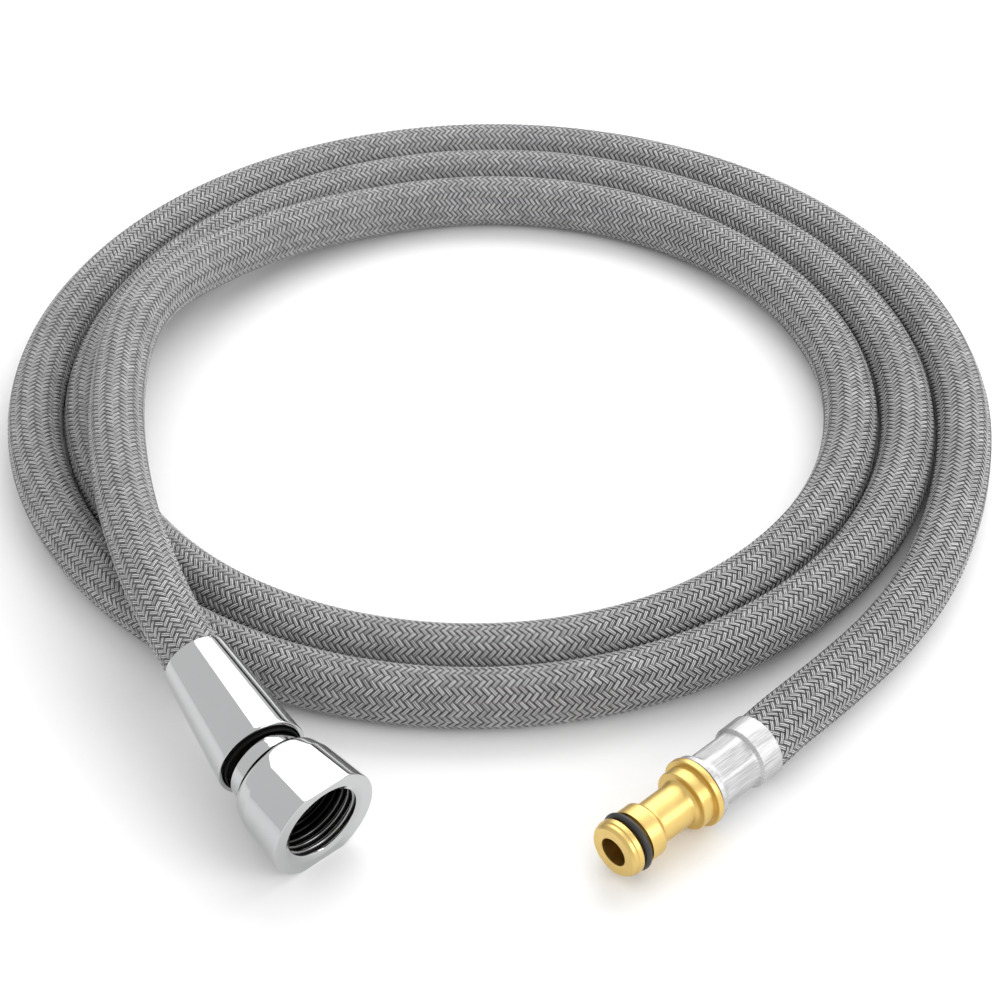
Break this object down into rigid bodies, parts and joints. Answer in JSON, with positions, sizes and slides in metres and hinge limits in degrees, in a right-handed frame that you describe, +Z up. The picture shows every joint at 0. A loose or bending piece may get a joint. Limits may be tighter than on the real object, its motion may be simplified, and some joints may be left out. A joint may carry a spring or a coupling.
{
  "type": "braided supply hose",
  "caption": "Coiled braided water hose with a swivelling, leaning conical nut at one end and a push-in brass plug with a seal at the other.",
  "frame": {"origin": "on the ground plane under the middle of the coiled hose's whole outline", "axes": "+Z up from the ground; +Y from the two fittings back across the coil; +X to the right, nut on the left and plug on the right"},
  "size_m": [0.2648, 0.3026, 0.0301],
  "materials": {
    "chrome_plate": "mirror-polished chrome plate",
    "machined_brass": "satin turned brass",
    "crimped_aluminium": "satin, with crimp marks",
    "grey_braid": "herringbone nylon braid",
    "liner_tube": "smooth translucent liner",
    "black_rubber": "moulded",
    "black_acetal": "moulded",
    "spring_steel": "bright wire"
  },
  "bodies": {
    "hose": {"braid_jacket": "grey_braid", "inner_tube": "liner_tube", "ball_stem": "machined_brass", "spray_end_ferrule": "crimped_aluminium", "quick_connect_plug": "machined_brass", "plug_o_ring": "black_rubber", "valve_end_ferrule": "crimped_aluminium"},
    "sleeve": {"tapered_sleeve": "chrome_plate", "neck_ring": "black_acetal", "sleeve_snap_ring": "spring_steel"},
    "ball_seat": {"ball_seat_ring": "black_acetal", "ball_o_ring": "black_rubber", "rear_bearing_ring": "black_acetal"},
    "nut": {"swivel_nut": "chrome_plate", "nut_washer": "black_rubber"}
  },
  "joints": [
    {"name": "sleeve_turn", "type": "hinge", "parent": "hose", "child": "sleeve", "pos_m": [-0.05051, -0.12856, 0.01434], "axis": [0.5253, -0.8442, -0.1064], "continuous": true},
    {"name": "nut_lean", "type": "hinge", "parent": "sleeve", "child": "ball_seat", "pos_m": [-0.05051, -0.12856, 0.01434], "axis": [0.0623, -0.0865, 0.9943], "range_deg": [-24, 3.7]},
    {"name": "nut_spin", "type": "hinge", "parent": "ball_seat", "child": "nut", "pos_m": [-0.05051, -0.12856, 0.01434], "axis": [0.6678, -0.7368, -0.106], "continuous": true}
  ]
}
